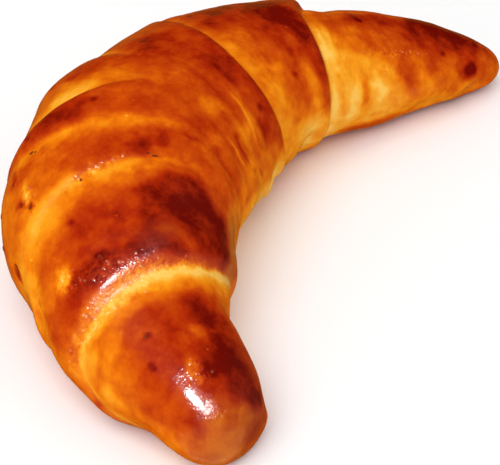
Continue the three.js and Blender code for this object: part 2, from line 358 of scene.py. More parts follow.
SINGE_SHARE = 0.8
SINGE_MARGIN = 0.3  # how far it reaches past the crumb
MOTTLING = 0.04  # strength of the cloudy and of the streaky mottling
BLOTCHING = 0.035
BLOTCH_EDGE = 3.5  # more makes the blotches' edges crisper
STREAK_LEAN = 0.1  # how far the streaks lean along the roll, as a share of the half width
STREAK_STRETCH = 4  # more draws the streaks out less round the roll
STREAK_START = 60  # the streaks are faint up to here and then grow over the next stretch
STREAK_GROWTH = 70
FAINT = 0.1
CREASE_SHADE = 0.35  # painted shade: how much darker a crease is made for each mm of its depth
TRAY_BAKE = 0.74  # level at the underside, and the height where the tray's heat ends
TRAY_REACH = 2.4

# Where the egg wash missed the crust: a strip past the edge of the palest seams. A seam
# whose level is higher shows it less, and from the last level on not at all.
BARE_MIDDLE = 0.6
BARE_REACH = 1.8
BARE_LAST_LEVEL = 0.325
BARE_FADE = 0.25

# Painted shade where the crust is darker than its browning alone makes it; the same places are
# also rougher: place, angle, length, width, turn and amount.
SHADE_AND_DULLING = (
    (46, 170, 13, 5.5, 0, 0.85),
    (48, 132, 8, 9, 0, 0.25),
    (39, 103, 3.6, 5, 0, 0.45),
    (0, 30, 6.5, 20, 0, 0.5),
    (7, 128, 7.5, 6, 0, 0.4),
    (20, -31, 8, 3, 0, 0.3),
)

# Fine creases beside the seams, on the upper wrap or the lower: seam, distance past its
# edge, the angles they run between, width and depth. Noise makes them wander.
CREASES = (
    ("fourth", -8.0, 118, 186, 1.1, 0.22),
    ("fourth", -14.5, 100, 182, 1.2, 0.26),
    ("fourth", -24.0, 128, 176, 1.0, 0.16),
    ("fourth", -30.0, 132, 194, 1.0, 0.36),
    ("second", -2.8, 88, 128, 0.7, 0.14),
    ("second", 2.2, 100, 142, 0.7, 0.18),
    ("second", 4.6, 112, 150, 0.7, 0.14),
    ("third", 3.0, 96, 140, 0.8, 0.14),
    ("fifth", -10.0, 96, 150, 1.0, 0.16),
    ("fifth", 9.0, 112, 168, 0.9, 0.14),
    ("neck", 26.0, 22, 66, 0.8, 0.12),
)
CREASE_WANDER = 1.6

# Where the crust blistered into fine bubbles, which carry painted glints: place, angle, length, width and
# turn.
BLISTERS = (
    (35, 74, 2.6, 9, -14),
    (39, 41, 2.8, 2.6, 0),
    (57.2, 78, 1.2, 8, 22),
    (30.6, 28, 1.6, 9, 0),
    (33.2, 122, 1, 13, 0),
    (31.2, 62, 1.4, 9, -10),
    (5.5, 58, 2.4, 2.4, 0),
    (167.5, 145, 2.4, 1.6, 0),
    (10.8, 76, 3, 2.4, 0),
    (56, 40, 4, 1.6, 0),
    (170, 128, 9, 1.2, 0),
)

# Dark crumbs baked into the crust: place, angle, half-length along the roll and round it.
CRUMBS = (
    (66.7, 43, 0.3, 0.6),
    (66.2, 46, 0.2, 0.3),
    (60.3, 108, 0.24, 0.7),
    (60.6, 104.5, 0.2, 0.4),
    (55.5, 70, 0.25, 0.3),
    (62.7, 29, 0.3, 0.25),
    (56.7, 34, 0.4, 0.3),
    (54.7, 40, 0.35, 0.35),
    (62.3, 8, 0.6, 0.3),
    (56.7, 3, 0.7, 0.3),
    (49.9, 12.5, 0.6, 0.35),
    (48.9, 11.5, 0.5, 0.4),
    (22.3, 64, 0.25, 0.4),
    (22.6, 66.5, 0.2, 0.25),
    (38.7, 67, 0.25, 0.4),
)
CRUMB_HEIGHT = 0.15
CRUMB_LUMPS = 0.4  # how lumpy the crumbs are
CRUMB_NOISE_STEP = 7  # how far apart the crumbs take their noise, so that no two are alike
CRUMB_RINGS = 10
CRUMB_SIDES = 14
TANGENT_STEP = 0.3  # distance between the points that give the crust's slope under a crumb

TIP_CROWDING = 0.03  # share of the crust's rings that close up at each tip
LEAST_GAP = 0.02  # the gap left between them there, as a share of the full one
NOISE_CELLS = 32  # random values along each side of the noise's lattice, which then repeats


def eased(place, change):
    """0 before the change, 1 past it, and a smoothstep between: 3 f^2 - 2 f^3."""
    low, high = change
    f = np.clip((place - low) / (high - low), 0, 1)
    return f * f * (3 - 2 * f)


def turn_per_cm(place):
    """Degrees that the middle line bends in each cm: each end's own bend eases into that of the body."""
    body = BODY_TURN[0] + (BODY_TURN[1] - BODY_TURN[0]) * np.clip(place / POINTED_CHANGE[0], 0, 1)
    turn = BLUNT_TURN + (body - BLUNT_TURN) * eased(place, BLUNT_CHANGE)
    return turn + (POINTED_TURN - turn) * eased(place, POINTED_CHANGE)


def full_half_width(place):
    """The half width between the rounded tips: it tapers from the thickest place to each end.

    Each taper is a quarter of a sine wave, raised to a power.
    """
    from_blunt = np.clip(place / THICKEST_AT, 0, 1)
    from_pointed = np.clip((LENGTH - place) / (LENGTH - THICKEST_AT), 0, 1)
    blunt = BLUNT_END + (THICKEST - BLUNT_END) * np.sin(np.pi / 2 * from_blunt) ** BLUNT_TAPER
    pointed = POINTED_END + (THICKEST - POINTED_END) * np.sin(np.pi / 2 * from_pointed) ** POINTED_TAPER
    return np.where(place < THICKEST_AT, blunt, pointed)


def around(eight, angle):
    """A smooth (Catmull-Rom) closed curve through eight values, an eighth of a turn apart."""
    v = np.asarray(eight, float)
    t = np.asarray(angle) / (np.pi / 4)
    i = np.floor(t).astype(int)
    f = t - i
    a, b, c, d = (v[(i + k) % 8] for k in (-1, 0, 1, 2))
    return 0.5 * (2 * b + (c - a) * f + (2 * a - 5 * b + 4 * c - d) * f**2 + (3 * b - a - 3 * c + d) * f**3)


def wrapped(radians):
    """The angle brought within half a turn of zero."""
    return (radians + np.pi) % (2 * np.pi) - np.pi


def spine_at(place):
    """Plan position, heading and bend of the middle line.

    The bends are summed into the heading, and steps along the heading into the position.
    """
    t = np.linspace(0, LENGTH, SPINE_STEPS + 1)
    step = t[1]
    bend = np.radians(turn_per_cm(t)) / 10
    heading = np.concatenate([[0], np.cumsum((bend[1:] + bend[:-1]) / 2 * step)])
    heading += np.radians(FRAME_TURN) - heading[SPINE_STEPS // 2]
    middle = (heading[1:] + heading[:-1]) / 2
    x = np.concatenate([[0], np.cumsum(np.cos(middle) * step)])
    y = np.concatenate([[0], np.cumsum(np.sin(middle) * step)])
    return tuple(np.interp(place, t, values) for values in (x, y, heading, bend))


def opening(place):
    """How far the oval has opened: a quarter of a superellipse at each tip takes it from 0 to 1."""
    from_blunt = np.clip(1 - place / BLUNT_TIP, 0, 1)
    from_pointed = np.clip(1 - (LENGTH - place) / POINTED_TIP, 0, 1)
    return ((1 - from_blunt**TIP_POWER) * (1 - from_pointed**TIP_POWER)) ** (1 / TIP_POWER)


def distance_past(seam, place, angle, half_width, stretch):
    """How far past the upper wrap's edge the crust lies, measured over it and square to the seam.

    It is the way along the roll over the root of 1 plus the square of the seam's slope. The
    slope is the change of place over the arc, and where the roll is thinner than
    FULL_RELIEF_WIDTH it counts the arc of that width.
    """
    here = around(seam["at"], angle)
    arc = SLOPE_STEP * np.maximum(half_width, FULL_RELIEF_WIDTH)
    slope = (around(seam["at"], angle + SLOPE_STEP) - here) / arc
    return (place - here) * seam["faces"] * stretch / np.hypot(1, slope)


def seam_height(seam, angle, past):
    """The upper wrap stands proud behind its edge and rounds down to it as a quarter circle.

    In front of the edge a groove dies away, and a hyperbolic tangent leads from one to the other.
    """
    rolled = np.sqrt(np.clip(1 - np.clip(1 + past / seam["roll"], 0, 1) ** 2, 0, 1))
    upper = seam["lift"] * rolled * np.exp(np.minimum(past, 0) / LIFT_REACH)
    lower = -seam["groove"] * np.exp(-np.maximum(past, 0) / GROOVE_REACH)
    front = 0.5 * (1 + np.tanh(past / seam["softness"]))
    return np.maximum(around(seam["share"], angle), 0) * ((1 - front) * upper + front * lower)


def value_noise(points, size, seed):
    """Smooth noise from -1 to 1: random values on a cubic lattice of this size, blended by smoothstep."""
    table = np.random.default_rng(seed).uniform(-1, 1, (NOISE_CELLS,) * 3)
    p = points / size
    i = np.floor(p).astype(int)
    f = p - i
    f = f * f * (3 - 2 * f)
    total = 0
    for corner in np.ndindex(2, 2, 2):
        weight = np.prod([np.where(c, f[..., k], 1 - f[..., k]) for k, c in enumerate(corner)], axis=0)
        total = total + weight * table[tuple((i[..., k] + c) % NOISE_CELLS for k, c in enumerate(corner))]
    return total


def fractal(points, size, octaves, seed):
    """Value noise summed over octaves, each half the size and half the strength of the one before."""
    return sum(value_noise(points, size / 2**k, seed + k) / 2**k for k in range(octaves))


class Roll:
    """The crust at an array of places (mm) and angles (radians): points, browning and gloss."""

    def __init__(self, place, angle, shape):
        self.place, self.angle, self.shape = place, angle, shape
        x, y, heading, bend = spine_at(place)
        full_width = full_half_width(place)
        self.half_width = full_width * opening(place)
        self.side, self.up = np.cos(angle), np.sin(angle)
        self.centre = np.stack([x, y, CENTRE_SHARE * HEIGHT_SHARE * full_width], -1)
        self.outward = np.stack([-np.sin(heading), np.cos(heading), np.zeros_like(heading)], -1)
        self.smooth = self.at_height(0)
        stretch = 1 - bend * self.half_width * self.side
        self.past = {
            name: distance_past(seam, place, angle, self.half_width, stretch) for name, seam in SEAMS.items()
        }

    def at_height(self, relief):
        """The oval's points moved out along the oval's normal, then bent onto the flat underside."""
        normal_side, normal_up = self.side * HEIGHT_SHARE, self.up
        size = np.hypot(normal_side, normal_up)
        out = self.half_width * self.side + normal_side / size * relief
        up = self.half_width * HEIGHT_SHARE * self.up + normal_up / size * relief
        points = self.centre + self.outward * out[..., None]
        points[..., 2] += up
        return soft_floor(points)

    def dome(self, at, degrees, height, length, width):
        """A soft round swell: a bell curve of the distance along and round the roll."""
        dx = (self.place - at) / length
        dy = wrapped(self.angle - np.radians(degrees)) * self.half_width / width
        return height * np.exp(-(dx**2) - dy**2)

    def patch(self, at, degrees, length, width, turn=0, wander=(0, 0)):
        """A soft-edged oval: 1 in its middle, falling as e to the minus of a power of the squared distance.

        The distance is taken along and round the roll, then turned and scaled to the oval.
        """
        dx = self.place + wander[0] - at
        angle = self.angle + wander[1] / np.maximum(self.half_width, WANDER_HALF_WIDTH)
        dy = wrapped(angle - np.radians(degrees)) * self.half_width
        c, s = np.cos(np.radians(turn)), np.sin(np.radians(turn))
        square = ((c * dx - s * dy) / length) ** 2 + ((s * dx + c * dy) / width) ** 2
        return np.exp(-(square**PATCH_EDGE))

    def creases(self):
        """Fine grooves: a bell curve of the distance from a wandering line, fading at both ends."""
        wander = CREASE_WANDER * fractal(self.smooth, size=9, octaves=2, seed=21)
        total = np.zeros(self.place.shape)
        for name, beyond, first, last, width, depth in CREASES:
            middle, half = np.radians((first + last) / 2), np.radians((last - first) / 2)
            ends = np.exp(-((wrapped(self.angle - middle) / half) ** 4))
            total += depth * ends * np.exp(-(((self.past[name] + wander - beyond) / width) ** 2))
        return total

    def relief(self):
        """Seams, swells and creases, plus the dough's unevenness."""
        fade = np.clip(self.half_width / FULL_RELIEF_WIDTH, 0, 1)
        seams = sum(seam_height(seam, self.angle, self.past[name]) for name, seam in SEAMS.items())
        swells = sum(self.dome(*swell) for swell in SWELLS)
        uneven = fractal(self.smooth, size=16, octaves=3, seed=11) * self.shape.unevenness
        fine = fractal(self.smooth, size=2.4, octaves=2, seed=71) * self.shape.grain
        return (seams + swells + uneven + fine - self.creases()) * fade

    def points(self):
        """The crust's points in millimetres."""
        return self.at_height(self.relief())

    def blisters(self):
        """How blistered the crust is, 0 to 1."""
        return np.clip(sum(self.patch(*spot) for spot in BLISTERS), 0, 1)

    def shade_and_dullness(self):
        """How dull the crust is, 0 to 1."""
        return np.clip(sum(amount * self.patch(*spot) for *spot, amount in SHADE_AND_DULLING), 0, 1)

    def bare(self):
        """How far the egg wash missed the crust, 0 to 1: a flat-topped strip past the palest seams."""
        total = 0
        for name, seam in SEAMS.items():
            share = np.clip((BARE_LAST_LEVEL - seam["level"]) / BARE_FADE, 0, 1)
            strip = np.exp(-(((self.past[name] - BARE_MIDDLE) / BARE_REACH) ** 4))
            total = total + share * np.clip(around(seam["pale"], self.angle), 0, 1) * strip
        return np.clip(total, 0, 1)

    def paint_patches(self, level, wander):
        """The patches of browning, and the singed crust round each crumb, each blended over the level."""
        for at, degrees, length, width, turn, target in BROWNING_AND_SHEEN:
            level += self.patch(at, degrees, length, width, turn, wander) * (target - level)
        for at, degrees, length, width in CRUMBS:
            singe = self.patch(at, degrees, 2 * length + SINGE_MARGIN, 2 * width + SINGE_MARGIN, 0, wander)
            level += SINGE_SHARE * singe * (SINGE - level)

    def paint_seams(self, level, wander):
        """The dark rims behind the seams' edges and the pale strips past them, as bell curves."""
        for name, seam in SEAMS.items():
            past = self.past[name] + wander
            lower = np.clip(0.5 + 0.5 * past / seam["softness"], 0, 1)
            if "dark" in seam:
                dark = np.clip(around(seam["dark"], self.angle), 0, 1) * (1 - lower)
                level += dark * np.exp(-((past / seam["reach"]) ** 2)) * (seam["rim"] - level)
            off = past - seam["middle"]
            reach = np.where(off < 0, seam["near"], seam["far"])
            share = np.clip(around(seam["pale"], self.angle), 0, 1) * lower
            for target, spread in ((seam["halo"], HALO_SPREAD), (seam["level"], 1)):
                level += share * np.exp(-((off / reach / spread) ** 2)) * (target - level)

    def mottling(self):
        """Clouds of noise, streaks of noise drawn out round the roll, and crisp blotches of its tangent."""
        clouds = fractal(self.smooth, size=3.2, octaves=3, seed=61)
        along = self.place + STREAK_LEAN * self.half_width * self.side
        drawn = np.stack([along, self.angle * STREAK_STRETCH, np.zeros_like(along)], -1)
        streaks = fractal(drawn, size=3.2, octaves=2, seed=81)
        streaks *= np.clip((self.place - STREAK_START) / STREAK_GROWTH, FAINT, 1)
        blotches = np.tanh(BLOTCH_EDGE * fractal(self.smooth * (1, 1, 0.8), size=3.4, octaves=3, seed=95))
        return MOTTLING * (clouds + streaks) + BLOTCHING * blotches

    def bake(self):
        """How far the crust browned: patches over an even bake, then seams, mottling and the tray's heat."""
        warp = [fractal(self.smooth + 50 * k, size=7, octaves=4, seed=41 + 10 * k) for k in range(3)]
        ragged = fractal(self.smooth, size=1.5, octaves=2, seed=33)
        level = np.full(self.place.shape, BASE_BAKE)
        self.paint_patches(level, (PATCH_WANDER * warp[0], PATCH_WANDER * warp[1]))
        self.paint_seams(level, STRIP_WANDER * warp[2] + STRIP_RAGGEDNESS * ragged)
        # Painted shade: each crease is darkened in proportion to its depth.
        level += self.mottling() + MOTTLING * warp[2] + CREASE_SHADE * self.creases()
        level += np.clip(1 - self.smooth[..., 2] / TRAY_REACH, 0, 1) * (TRAY_BAKE - level)
        return BASE_BAKE + self.shape.contrast * (level - BASE_BAKE)


def soft_floor(points):
    """Points near the base plane are bent up onto it: softness times log(1 + exp(height / softness))."""
    height = points[..., 2] / FLOOR_SOFTNESS
    bent = np.log1p(np.exp(np.minimum(height, 2 * FLOOR_REACH)))
    points[..., 2] = FLOOR_SOFTNESS * np.where(height > FLOOR_REACH, height, bent)
    return points


def grid_faces(rings, sides):
    """Faces of a closed roll: quads between rings that close on themselves, and a fan at each tip."""
    ring = np.arange(rings - 1)[:, None] * sides + 1
    here = np.arange(sides)[None]
    following = (here + 1) % sides
    corners = [ring[:-1] + here, ring[:-1] + following, ring[1:] + following, ring[1:] + here]
    quads = np.stack(corners, -1).reshape(-1, 4)
    last = 1 + (rings - 1) * sides
    first_fan = np.stack([0 * here, 1 + following, 1 + here], -1).reshape(-1, 3)
    last_fan = np.stack([last + 0 * here, last - sides + here, last - sides + following], -1).reshape(-1, 3)
    return quads, np.concatenate([first_fan, last_fan])


def to_frame(points):
    """Millimetres to metres, the plan box of a coarse roll centred on that of the part."""
    every_mm = np.arange(LENGTH + 1.0)
    every_5_degrees = np.radians(np.arange(0, 360, 5))
    place, angle = np.meshgrid(every_mm, every_5_degrees, indexing="ij")
    plan = Roll(place, angle, bpy.context.scene.bun_shape).points()[..., :2].reshape(-1, 2)
    cad_low, cad_high = (np.array(corner)[:2] for corner in BUN_BOX)
    points = points * MM
    points[..., :2] += (cad_low + cad_high) / 2 - (plan.min(0) + plan.max(0)) / 2 * MM
    return points


def crust_arrays(shape):
    """Vertices (metres) of the crust and the values on them.

    The gaps between its rings are even, less an exponential that closes them up at each tip.
    """
    t = (np.arange(shape.rings) + 0.5) / shape.rings
    gaps = 1 + LEAST_GAP - np.exp(-t / TIP_CROWDING) - np.exp(-(1 - t) / TIP_CROWDING)
    places = LENGTH * np.concatenate([[0], np.cumsum(gaps)]) / gaps.sum()
    angles = 2 * np.pi * np.arange(shape.sides) / shape.sides
    roll = Roll(*np.meshgrid(places, angles, indexing="ij"), shape)

    def flat(values):
        """The rings in one row, with a single point at each tip."""
        rings = values[1:-1].reshape((-1,) + values.shape[2:])
        return np.concatenate([values[:1, 0], rings, values[-1:, 0]])

    values = {"bake": roll.bake(), "blister": roll.blisters(), "dull": roll.shade_and_dullness(), "bare": roll.bare()}
    return to_frame(flat(roll.points())), {name: flat(value) for name, value in values.items()}


def unit_ball(rings, sides):
    """Points of a sphere of radius 1: poles at both ends, and rings of equal polar angle between them."""
    polar = np.pi * np.arange(1, rings) / rings
    turn = 2 * np.pi * np.arange(sides) / sides
    x = np.outer(np.sin(polar), np.cos(turn)).ravel()
    y = np.outer(np.sin(polar), np.sin(turn)).ravel()
    z = np.outer(np.cos(polar), np.ones(sides)).ravel()
    return np.concatenate([[(0, 0, 1)], np.stack([x, y, z], -1), [(0, 0, -1)]])


def crumb_arrays(shape):
    """Points and faces of the crumbs: lumpy ellipsoids half sunk in the crust.

    Each ellipsoid stands on the crust's two tangents, taken from points a step away, and its normal.
    """
    place, degrees, length, width = np.array(CRUMBS).T
    angle = np.radians(degrees)
    turn_step = TANGENT_STEP / Roll(place, angle, shape).half_width
    steps = ((0, 0), (TANGENT_STEP, 0), (0, turn_step))
    foot, ahead, beside = (Roll(place + a, angle + b, shape).points() for a, b in steps)
    tangents = [(moved - foot) / TANGENT_STEP for moved in (ahead, beside)]
    normal = np.cross(tangents[1], tangents[0])
    normal /= np.linalg.norm(normal, axis=-1, keepdims=True)
    ball = unit_ball(CRUMB_RINGS, CRUMB_SIDES)[None]
    number = np.arange(len(CRUMBS))[:, None, None]
    lumps = fractal(ball + CRUMB_NOISE_STEP * number, size=0.9, octaves=2, seed=91)
    ball = ball * (1 + CRUMB_LUMPS * lumps)[..., None]
    local = (
        ball[..., :1] * (length[:, None] * tangents[0])[:, None]
        + ball[..., 1:2] * (width[:, None] * tangents[1])[:, None]
        + ball[..., 2:] * (CRUMB_HEIGHT * normal)[:, None]
    )
    points = foot[:, None] + local
    quads, fans = (
        (faces + number * ball.shape[1]).reshape(-1, faces.shape[1])
        for faces in grid_faces(CRUMB_RINGS, CRUMB_SIDES)
    )
    return to_frame(points.reshape(-1, 3)), quads, fans


def mesh_object(name, points, quads, triangles=()):
    """A mesh object at the origin from whole arrays of points, four-sided and three-sided faces."""
    mesh = bpy.data.meshes.new(name)
    triangles = np.asarray(triangles, int).reshape(-1, 3)
    loops = np.concatenate([quads.ravel(), triangles.ravel()])
    sizes = np.concatenate([np.full(len(quads), 4), np.full(len(triangles), 3)])
    mesh.vertices.add(len(points))
    mesh.vertices.foreach_set("co", points.astype(np.float32).ravel())
    mesh.loops.add(len(loops))
    mesh.loops.foreach_set("vertex_index", loops)
    mesh.polygons.add(len(sizes))
    mesh.polygons.foreach_set("loop_start", np.concatenate([[0], np.cumsum(sizes)[:-1]]))
    mesh.polygons.foreach_set("use_smooth", np.ones(len(sizes), bool))
    mesh.update(calc_edges=True)
    mesh.validate()
    made = bpy.data.objects.new(name, mesh)
    bpy.context.scene.collection.objects.link(made)
    return made


def point_attribute(obj, name, values):
    """A named value on each of the mesh's points, which its material reads."""
    attribute = obj.data.attributes.new(name, "FLOAT", "POINT")
    attribute.data.foreach_set("value", values.astype(np.float32))


# ---------------------------------------------------------------------------
# Materials: noise and speckle scales are cells per metre.
# ---------------------------------------------------------------------------

# The level of browning at which the crust has each colour.
CRUST_RAMP = {
    "cream": 0,
    "dough": 0.08,
    "straw": 0.2,
    "golden": 0.4,
    "chestnut": 0.6,
    "russet": 0.8,
    "mahogany": 1,
}
NOISE_MIDDLE = (0.3, 0.7)  # the range that holds nearly all of the noise
MOTTLE = 0.08  # how far each fine mark moves the level
FLECK = (0.022, 0.14)  # on smooth and on blistered crust
BURNT_MARK = 0.25
BUBBLE_MARK = 0.35
FROTH_MARK = 0.2
PAINTED_GLINT_SHARE = 0.35  # how strongly the froth takes the painted glint's pale colour
PAINTED_SHADE_BRIGHTNESS = 0.5  # painted shade: brightness left on the dullest crust
WASH_LEVELS = (0.08, 0.34)  # levels between which the crust takes on the gloss of the wash
ROUGHNESS = (0.1, 0.15)
UNWASHED_ROUGHNESS = 0.25  # added where there is no gloss, and on the dullest crust
DULL_ROUGHNESS = 0.3
COAT = 0.2
GRAIN_BUMP = (0.5, 1.3)  # heights on smooth and on blistered crust
BUBBLE_BUMP = 0.8
FROTH_BUMP = 1.7

# Sockets of a Mix node that mixes colours. They go by number, because their names repeat.
MIX_FACTOR, MIX_UNDER, MIX_OVER, MIX_RESULT = 0, 6, 7, 2


def new_material(name):
    """An empty material with a Principled shader: the material, its node tree and the shader."""
    material = bpy.data.materials.new(name)
    material.use_nodes = True
    tree = material.node_tree
    tree.nodes.clear()
    output = tree.nodes.new("ShaderNodeOutputMaterial")
    shader = tree.nodes.new("ShaderNodeBsdfPrincipled")
    tree.links.new(shader.outputs["BSDF"], output.inputs["Surface"])
    return material, tree, shader


def noise_node(tree, coordinates, scale, detail, roughness):
    """Noise from 0 to 1 at these coordinates."""
    node = tree.nodes.new("ShaderNodeTexNoise")
    node.inputs["Scale"].default_value = scale
    node.inputs["Detail"].default_value = detail
    node.inputs["Roughness"].default_value = roughness
    tree.links.new(coordinates, node.inputs["Vector"])
    return node.outputs["Fac"]


def map_range(tree, value, low, high, to_low, to_high):
    """The value moved in proportion from one range to another, and held at its ends."""
    node = tree.nodes.new("ShaderNodeMapRange")
    tree.links.new(value, node.inputs["Value"])
    for name, number in (("From Min", low), ("From Max", high), ("To Min", to_low), ("To Max", to_high)):
        node.inputs[name].default_value = number
    return node.outputs["Result"]


def spread_noise(tree, coordinates, to_low, to_high, scale, detail, roughness=0.5):
    """Noise at these coordinates, spread out between two numbers."""
    noise = noise_node(tree, coordinates, scale, detail, roughness)
    return map_range(tree, noise, *NOISE_MIDDLE, to_low, to_high)


def math_node(tree, operation, a, b):
    """The sum, product or the like of two numbers or sockets."""
    node = tree.nodes.new("ShaderNodeMath")
    node.operation = operation
    for socket, value in zip(node.inputs, (a, b)):
        if isinstance(value, (int, float)):
            socket.default_value = value
        else:
            tree.links.new(value, socket)
    return node.outputs[0]


def attribute_node(tree, name):
    """The named value on the mesh's points."""
    node = tree.nodes.new("ShaderNodeAttribute")
    node.attribute_name = name
    return node.outputs["Fac"]


def bump_node(tree, shader, height, strength, distance):
    """A bump of this height on the shader's normal."""
    node = tree.nodes.new("ShaderNodeBump")
    node.inputs["Strength"].default_value = strength
    node.inputs["Distance"].default_value = distance
    tree.links.new(height, node.inputs["Height"])
    tree.links.new(node.outputs["Normal"], shader.inputs["Normal"])


def speckle_group():
    """Sparse round spots: 1 in the middle of some Voronoi cells, fading to 0 at the radius, in cells."""
    group = bpy.data.node_groups.new("bun_speckle", "ShaderNodeTree")
    sockets = group.interface
    sockets.new_socket("Coordinates", in_out="INPUT", socket_type="NodeSocketVector")
    for name, value in (("Scale", 200), ("Radius", 0.2), ("Share", 0.3)):
        sockets.new_socket(name, in_out="INPUT", socket_type="NodeSocketFloat").default_value = value
    sockets.new_socket("Spots", in_out="OUTPUT", socket_type="NodeSocketFloat")
    inputs, outputs = group.nodes.new("NodeGroupInput"), group.nodes.new("NodeGroupOutput")
    cells = group.nodes.new("ShaderNodeTexVoronoi")
    group.links.new(inputs.outputs["Coordinates"], cells.inputs["Vector"])
    group.links.new(inputs.outputs["Scale"], cells.inputs["Scale"])
    far = math_node(group, "DIVIDE", cells.outputs["Distance"], inputs.outputs["Radius"])
    near = math_node(group, "MAXIMUM", math_node(group, "SUBTRACT", 1, far), 0)
    split = group.nodes.new("ShaderNodeSeparateColor")
    group.links.new(cells.outputs["Color"], split.inputs["Color"])
    chosen = math_node(group, "LESS_THAN", split.outputs["Red"], inputs.outputs["Share"])
    group.links.new(math_node(group, "MULTIPLY", near, chosen), outputs.inputs["Spots"])
    return group


def speckles(tree, group, coordinates, scale, radius, share):
    """The speckle group placed in a material with its own values."""
    node = tree.nodes.new("ShaderNodeGroup")
    node.node_tree = group
    tree.links.new(coordinates, node.inputs["Coordinates"])
    for name, value in (("Scale", scale), ("Radius", radius), ("Share", share)):
        node.inputs[name].default_value = value
    return node.outputs["Spots"]


def crust_level(tree, coordinates, bake, blister, bubbles, burnt, froth_and_glint):
    """The browning with its finest marks: mottling, flecks and burnt bubbles, paler bubbles and froth."""
    mottle = spread_noise(tree, coordinates, -MOTTLE, MOTTLE, scale=300, detail=4, roughness=0.65)
    flecks = spread_noise(tree, coordinates, -1, 1, scale=900, detail=2, roughness=0.6)
    flecks = math_node(tree, "MULTIPLY", flecks, map_range(tree, blister, 0, 1, *FLECK))
    level = math_node(tree, "ADD", bake, mottle)
    level = math_node(tree, "ADD", level, flecks)
    level = math_node(tree, "ADD", level, math_node(tree, "MULTIPLY", burnt, BURNT_MARK))
    level = math_node(tree, "SUBTRACT", level, math_node(tree, "MULTIPLY", bubbles, BUBBLE_MARK))
    return math_node(tree, "SUBTRACT", level, math_node(tree, "MULTIPLY", froth_and_glint, FROTH_MARK))


def crust_colour(tree, colours, level, froth_and_glint, dull):
    """The level looked up in a ramp from dough to mahogany, with foam mixed in and dull spots darker."""
    ramp = tree.nodes.new("ShaderNodeValToRGB")
    tree.links.new(level, ramp.inputs["Fac"])
    elements = ramp.color_ramp.elements
    elements.remove(elements[1])
    for name, level_at in CRUST_RAMP.items():
        element = elements.new(level_at) if level_at else elements[0]
        element.color = (*getattr(colours, name), 1)
    # Painted glints: a pale colour mixed onto the froth's bubbles.
    painted_glint = tree.nodes.new("ShaderNodeMix")
    painted_glint.data_type = "RGBA"
    tree.links.new(math_node(tree, "MULTIPLY", froth_and_glint, PAINTED_GLINT_SHARE), painted_glint.inputs[MIX_FACTOR])
    tree.links.new(ramp.outputs["Color"], painted_glint.inputs[MIX_UNDER])
    painted_glint.inputs[MIX_OVER].default_value = (*colours.painted_glint, 1)
    # Painted shade: the dull places are darkened.
    shade = tree.nodes.new("ShaderNodeHueSaturation")
    tree.links.new(painted_glint.outputs[MIX_RESULT], shade.inputs["Color"])
    tree.links.new(map_range(tree, dull, 0, 1, 1, PAINTED_SHADE_BRIGHTNESS), shade.inputs["Value"])
    return shade.outputs["Color"]


def crust_gloss(tree, shader, coordinates, bake, dull):
    """The egg wash: a thin coat where the crust browned, and a rougher crust where the wash missed it."""
    washed = map_range(tree, bake, *WASH_LEVELS, 0, 1)
    covered = math_node(tree, "SUBTRACT", 1, attribute_node(tree, "bare"))
    washed = math_node(tree, "MULTIPLY", washed, covered)
    rough = spread_noise(tree, coordinates, *ROUGHNESS, scale=180, detail=3)
    rough = math_node(tree, "ADD", rough, map_range(tree, washed, 0, 1, UNWASHED_ROUGHNESS, 0))
    rough = math_node(tree, "ADD", rough, math_node(tree, "MULTIPLY", dull, DULL_ROUGHNESS))
    tree.links.new(rough, shader.inputs["Roughness"])
    tree.links.new(math_node(tree, "MULTIPLY", washed, COAT), shader.inputs["Coat Weight"])
    shader.inputs["Specular IOR Level"].default_value = 0.22
    shader.inputs["Coat Roughness"].default_value = 0.17


def crust_material(colours):
    """Egg-washed crust: coloured by how far it browned, glossy, with fine grain, bubbles and froth."""
    material, tree, shader = new_material("egg_washed_crust")
    coordinates = tree.nodes.new("ShaderNodeTexCoord").outputs["Object"]
    bake, blister, dull = (attribute_node(tree, name) for name in ("bake", "blister", "dull"))
    group = speckle_group()
    bubbles = speckles(tree, group, coordinates, scale=230, radius=0.1, share=0.3)
    burnt = speckles(tree, group, coordinates, scale=150, radius=0.22, share=0.35)
    froth_and_glint = speckles(tree, group, coordinates, scale=760, radius=0.34, share=0.45)
    froth_and_glint = math_node(tree, "MULTIPLY", froth_and_glint, blister)
    level = crust_level(tree, coordinates, bake, blister, bubbles, burnt, froth_and_glint)
    tree.links.new(crust_colour(tree, colours, level, froth_and_glint, dull), shader.inputs["Base Color"])
    crust_gloss(tree, shader, coordinates, bake, dull)
    grain = noise_node(tree, coordinates, scale=1400, detail=2, roughness=0.5)
    height = math_node(tree, "MULTIPLY", grain, map_range(tree, blister, 0, 1, *GRAIN_BUMP))
    height = math_node(tree, "ADD", height, math_node(tree, "MULTIPLY", bubbles, BUBBLE_BUMP))
    height = math_node(tree, "ADD", height, math_node(tree, "MULTIPLY", froth_and_glint, FROTH_BUMP))
    bump_node(tree, shader, height, strength=0.45, distance=0.3 * MM)
    return material


def crumb_material(colours):
    """Dark, toasted crumb, a little glossy, with a rough grain."""
    material, tree, shader = new_material("toasted_crumb")
    coordinates = tree.nodes.new("ShaderNodeTexCoord").outputs["Object"]
    mix = tree.nodes.new("ShaderNodeValToRGB")
    dark, light = mix.color_ramp.elements
    dark.position, light.position = 0.35, 0.7
    dark.color = (*(0.5 * channel for channel in colours.crumb), 1)
    light.color = (*colours.crumb, 1)
    grain = noise_node(tree, coordinates, scale=2500, detail=3, roughness=0.6)
    tree.links.new(grain, mix.inputs["Fac"])
    tree.links.new(mix.outputs["Color"], shader.inputs["Base Color"])
    shader.inputs["Roughness"].default_value = 0.3
    shader.inputs["Specular IOR Level"].default_value = 0.02
    bump_node(tree, shader, grain, strength=1, distance=0.2 * MM)
    return material


